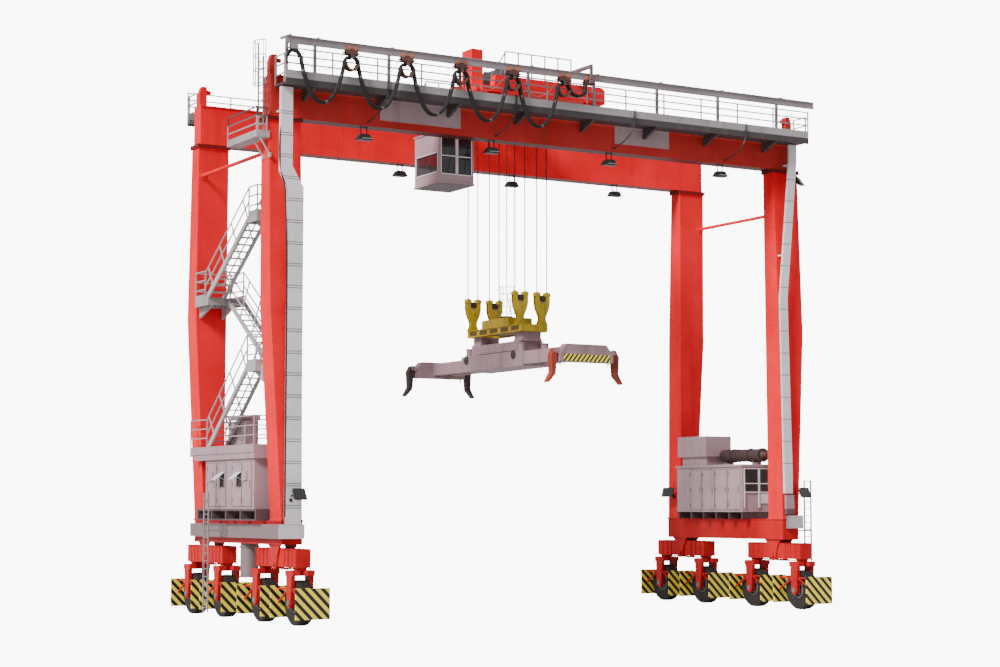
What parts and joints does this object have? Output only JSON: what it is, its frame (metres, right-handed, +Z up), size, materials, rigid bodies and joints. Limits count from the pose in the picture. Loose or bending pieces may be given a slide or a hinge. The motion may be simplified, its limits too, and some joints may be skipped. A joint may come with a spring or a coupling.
{
  "type": "rubber tyred gantry crane",
  "caption": "Rubber tyred gantry crane: portal on steered wheel bogies, girder trolley with cab, roped head block and telescopic container spreader",
  "frame": {"origin": "on the ground at the middle between the two sill beams and between the two girders", "axes": "+X along the girders to the power pack side, +Y to the rear along the travel lane, +Z up"},
  "size_m": [26.36, 12.405, 22.84],
  "materials": {
    "portal_red": "satin red paint, faded and sooted lower down",
    "walkway_grey": "pale grey paint",
    "railing_grey": "galvanised and painted grey",
    "cable_black": "matt black sheath",
    "carrier_orange": "orange paint, greasy",
    "housing_grey": "mauve grey paint",
    "lamp_black": "black housing",
    "running_red": "gloss red paint",
    "tyre_black": "worn rubber with grey rims",
    "trolley_red": "bright red paint",
    "machinery_grey": "machine grey",
    "rope_steel": "greased steel rope",
    "head_yellow": "yellow paint, grimy",
    "basket_wire": "galvanised wire, greasy",
    "spreader_grey": "mauve grey paint",
    "flipper_red": "scuffed orange red paint"
  },
  "bodies": {
    "gantry": {"sill_left": "portal_red", "sill_right": "portal_red", "leg_front_left": "portal_red", "leg_rear_left": "portal_red", "leg_front_right": "portal_red", "leg_rear_right": "portal_red", "girder_front": "portal_red", "girder_rear": "portal_red", "leg_ties": "portal_red", "walkways": "walkway_grey", "walkway_railings": "railing_grey", "festoon_track": "railing_grey", "festoon_cable": "cable_black", "stair_flights": "walkway_grey", "landings": "walkway_grey", "ladders": "railing_grey", "electric_house": "housing_grey", "power_pack": "housing_grey", "cable_casing": "railing_grey", "floodlights": "lamp_black"},
    "trolley": {"trolley_frame": "trolley_red", "hoist_machinery": "machinery_grey", "trolley_railing": "railing_grey", "cab": "housing_grey", "hoist_ropes": "rope_steel"},
    "hoist": {"head_block": "head_yellow", "cable_basket": "basket_wire", "spreader_frame": "spreader_grey"},
    "arm_front": {"spreader_arm_front": "spreader_grey"},
    "arm_rear": {"spreader_arm_rear": "spreader_grey"},
    "flipper_front_left": {"flipper_front_left": "flipper_red"},
    "flipper_front_right": {"flipper_front_right": "flipper_red"},
    "flipper_rear_left": {"flipper_rear_left": "flipper_red"},
    "flipper_rear_right": {"flipper_rear_right": "flipper_red"},
    "bogie_left_rear": {"bogie_left_rear": "running_red"},
    "fork_left_1": {"fork_left_1": "running_red"},
    "wheel_left_1": {"wheel_left_1": "tyre_black"},
    "fork_left_2": {"fork_left_2": "running_red"},
    "wheel_left_2": {"wheel_left_2": "tyre_black"},
    "bogie_left_front": {"bogie_left_front": "running_red"},
    "fork_left_3": {"fork_left_3": "running_red"},
    "wheel_left_3": {"wheel_left_3": "tyre_black"},
    "fork_left_4": {"fork_left_4": "running_red"},
    "wheel_left_4": {"wheel_left_4": "tyre_black"},
    "bogie_right_rear": {"bogie_right_rear": "running_red"},
    "fork_right_1": {"fork_right_1": "running_red"},
    "wheel_right_1": {"wheel_right_1": "tyre_black"},
    "fork_right_2": {"fork_right_2": "running_red"},
    "wheel_right_2": {"wheel_right_2": "tyre_black"},
    "bogie_right_front": {"bogie_right_front": "running_red"},
    "fork_right_3": {"fork_right_3": "running_red"},
    "wheel_right_3": {"wheel_right_3": "tyre_black"},
    "fork_right_4": {"fork_right_4": "running_red"},
    "wheel_right_4": {"wheel_right_4": "tyre_black"},
    "festoon_carrier_1": {"festoon_carrier_1": "carrier_orange"},
    "festoon_carrier_2": {"festoon_carrier_2": "carrier_orange"},
    "festoon_carrier_3": {"festoon_carrier_3": "carrier_orange"},
    "festoon_carrier_4": {"festoon_carrier_4": "carrier_orange"},
    "festoon_carrier_5": {"festoon_carrier_5": "carrier_orange"},
    "tow_carriage": {"tow_carriage": "carrier_orange"}
  },
  "joints": [
    {"name": "trolley_travel", "type": "slide", "parent": "gantry", "child": "trolley", "axis": [1, 0, 0], "range_m": [-7.4, 8.3], "deforming": ["festoon_cable"]},
    {"name": "hoist_lift", "type": "slide", "parent": "trolley", "child": "hoist", "axis": [0, 0, 1], "range_m": [-8, 4.8], "deforming": ["hoist_ropes"]},
    {"name": "telescope_front", "type": "slide", "parent": "hoist", "child": "arm_front", "axis": [0, 1, 0], "range_m": [0, 3.05]},
    {"name": "telescope_rear", "type": "slide", "parent": "hoist", "child": "arm_rear", "axis": [0, -1, 0], "range_m": [0, 3.05]},
    {"name": "flipper_front_left_swing", "type": "hinge", "parent": "arm_front", "child": "flipper_front_left", "pos_m": [-1.3245, -5.9525, 10.46], "axis": [0, 1, 0], "range_deg": [0, 170]},
    {"name": "flipper_front_right_swing", "type": "hinge", "parent": "arm_front", "child": "flipper_front_right", "pos_m": [1.4445, -5.9525, 10.46], "axis": [0, -1, 0], "range_deg": [0, 170]},
    {"name": "flipper_rear_left_swing", "type": "hinge", "parent": "arm_rear", "child": "flipper_rear_left", "pos_m": [-1.3245, 5.9525, 10.46], "axis": [0, 1, 0], "range_deg": [0, 170]},
    {"name": "flipper_rear_right_swing", "type": "hinge", "parent": "arm_rear", "child": "flipper_rear_right", "pos_m": [1.4445, 5.9525, 10.46], "axis": [0, -1, 0], "range_deg": [0, 170]},
    {"name": "bogie_left_rear_rock", "type": "hinge", "parent": "gantry", "child": "bogie_left_rear", "pos_m": [-11.735, 3.425, 2.24], "axis": [1, 0, 0], "range_deg": [-4, 4]},
    {"name": "steer_left_1", "type": "hinge", "parent": "bogie_left_rear", "child": "fork_left_1", "pos_m": [-11.735, 4.975, 1.98], "axis": [0, 0, 1], "range_deg": [0, 90]},
    {"name": "spin_left_1", "type": "hinge", "parent": "fork_left_1", "child": "wheel_left_1", "pos_m": [-11.735, 4.975, 0.84], "axis": [1, 0, 0], "continuous": true},
    {"name": "steer_left_2", "type": "hinge", "parent": "bogie_left_rear", "child": "fork_left_2", "pos_m": [-11.735, 1.875, 1.98], "axis": [0, 0, 1], "range_deg": [0, 90]},
    {"name": "spin_left_2", "type": "hinge", "parent": "fork_left_2", "child": "wheel_left_2", "pos_m": [-11.735, 1.875, 0.84], "axis": [1, 0, 0], "continuous": true},
    {"name": "bogie_left_front_rock", "type": "hinge", "parent": "gantry", "child": "bogie_left_front", "pos_m": [-11.735, -3.425, 2.24], "axis": [1, 0, 0], "range_deg": [-4, 4]},
    {"name": "steer_left_3", "type": "hinge", "parent": "bogie_left_front", "child": "fork_left_3", "pos_m": [-11.735, -1.875, 1.98], "axis": [0, 0, 1], "range_deg": [0, 90]},
    {"name": "spin_left_3", "type": "hinge", "parent": "fork_left_3", "child": "wheel_left_3", "pos_m": [-11.735, -1.875, 0.84], "axis": [1, 0, 0], "continuous": true},
    {"name": "steer_left_4", "type": "hinge", "parent": "bogie_left_front", "child": "fork_left_4", "pos_m": [-11.735, -4.975, 1.98], "axis": [0, 0, 1], "range_deg": [0, 90]},
    {"name": "spin_left_4", "type": "hinge", "parent": "fork_left_4", "child": "wheel_left_4", "pos_m": [-11.735, -4.975, 0.84], "axis": [1, 0, 0], "continuous": true},
    {"name": "bogie_right_rear_rock", "type": "hinge", "parent": "gantry", "child": "bogie_right_rear", "pos_m": [11.735, 3.425, 2.24], "axis": [1, 0, 0], "range_deg": [-4, 4]},
    {"name": "steer_right_1", "type": "hinge", "parent": "bogie_right_rear", "child": "fork_right_1", "pos_m": [11.735, 4.975, 1.98], "axis": [0, 0, 1], "range_deg": [0, 90]},
    {"name": "spin_right_1", "type": "hinge", "parent": "fork_right_1", "child": "wheel_right_1", "pos_m": [11.735, 4.975, 0.84], "axis": [1, 0, 0], "continuous": true},
    {"name": "steer_right_2", "type": "hinge", "parent": "bogie_right_rear", "child": "fork_right_2", "pos_m": [11.735, 1.875, 1.98], "axis": [0, 0, 1], "range_deg": [0, 90]},
    {"name": "spin_right_2", "type": "hinge", "parent": "fork_right_2", "child": "wheel_right_2", "pos_m": [11.735, 1.875, 0.84], "axis": [1, 0, 0], "continuous": true},
    {"name": "bogie_right_front_rock", "type": "hinge", "parent": "gantry", "child": "bogie_right_front", "pos_m": [11.735, -3.425, 2.24], "axis": [1, 0, 0], "range_deg": [-4, 4]},
    {"name": "steer_right_3", "type": "hinge", "parent": "bogie_right_front", "child": "fork_right_3", "pos_m": [11.735, -1.875, 1.98], "axis": [0, 0, 1], "range_deg": [0, 90]},
    {"name": "spin_right_3", "type": "hinge", "parent": "fork_right_3", "child": "wheel_right_3", "pos_m": [11.735, -1.875, 0.84], "axis": [1, 0, 0], "continuous": true},
    {"name": "steer_right_4", "type": "hinge", "parent": "bogie_right_front", "child": "fork_right_4", "pos_m": [11.735, -4.975, 1.98], "axis": [0, 0, 1], "range_deg": [0, 90]},
    {"name": "spin_right_4", "type": "hinge", "parent": "fork_right_4", "child": "wheel_right_4", "pos_m": [11.735, -4.975, 0.84], "axis": [1, 0, 0], "continuous": true},
    {"name": "carrier_1_run", "type": "slide", "parent": "gantry", "child": "festoon_carrier_1", "axis": [1, 0, 0], "range_m": [-1.43, 1.6]},
    {"name": "carrier_2_run", "type": "slide", "parent": "festoon_carrier_1", "child": "festoon_carrier_2", "axis": [1, 0, 0], "range_m": [-1.43, 1.6]},
    {"name": "carrier_3_run", "type": "slide", "parent": "festoon_carrier_2", "child": "festoon_carrier_3", "axis": [1, 0, 0], "range_m": [-1.43, 1.6]},
    {"name": "carrier_4_run", "type": "slide", "parent": "festoon_carrier_3", "child": "festoon_carrier_4", "axis": [1, 0, 0], "range_m": [-1.43, 1.6]},
    {"name": "carrier_5_run", "type": "slide", "parent": "festoon_carrier_4", "child": "festoon_carrier_5", "axis": [1, 0, 0], "range_m": [-1.43, 1.6]},
    {"name": "tow_carriage_run", "type": "slide", "parent": "festoon_carrier_5", "child": "tow_carriage", "axis": [1, 0, 0], "range_m": [-0.3, 0.34]}
  ],
  "couplings": [
    {"joint": "telescope_rear", "follows": "telescope_front", "ratio": 1},
    {"joint": "steer_left_2", "follows": "steer_left_1", "ratio": 1},
    {"joint": "steer_left_3", "follows": "steer_left_1", "ratio": 1},
    {"joint": "steer_left_4", "follows": "steer_left_1", "ratio": 1},
    {"joint": "steer_right_1", "follows": "steer_left_1", "ratio": 1},
    {"joint": "steer_right_2", "follows": "steer_left_1", "ratio": 1},
    {"joint": "steer_right_3", "follows": "steer_left_1", "ratio": 1},
    {"joint": "steer_right_4", "follows": "steer_left_1", "ratio": 1},
    {"joint": "carrier_1_run", "follows": "trolley_travel", "ratio": 0.192},
    {"joint": "carrier_2_run", "follows": "trolley_travel", "ratio": 0.192},
    {"joint": "carrier_3_run", "follows": "trolley_travel", "ratio": 0.192},
    {"joint": "carrier_4_run", "follows": "trolley_travel", "ratio": 0.192},
    {"joint": "carrier_5_run", "follows": "trolley_travel", "ratio": 0.192},
    {"joint": "tow_carriage_run", "follows": "trolley_travel", "ratio": 0.04}
  ]
}
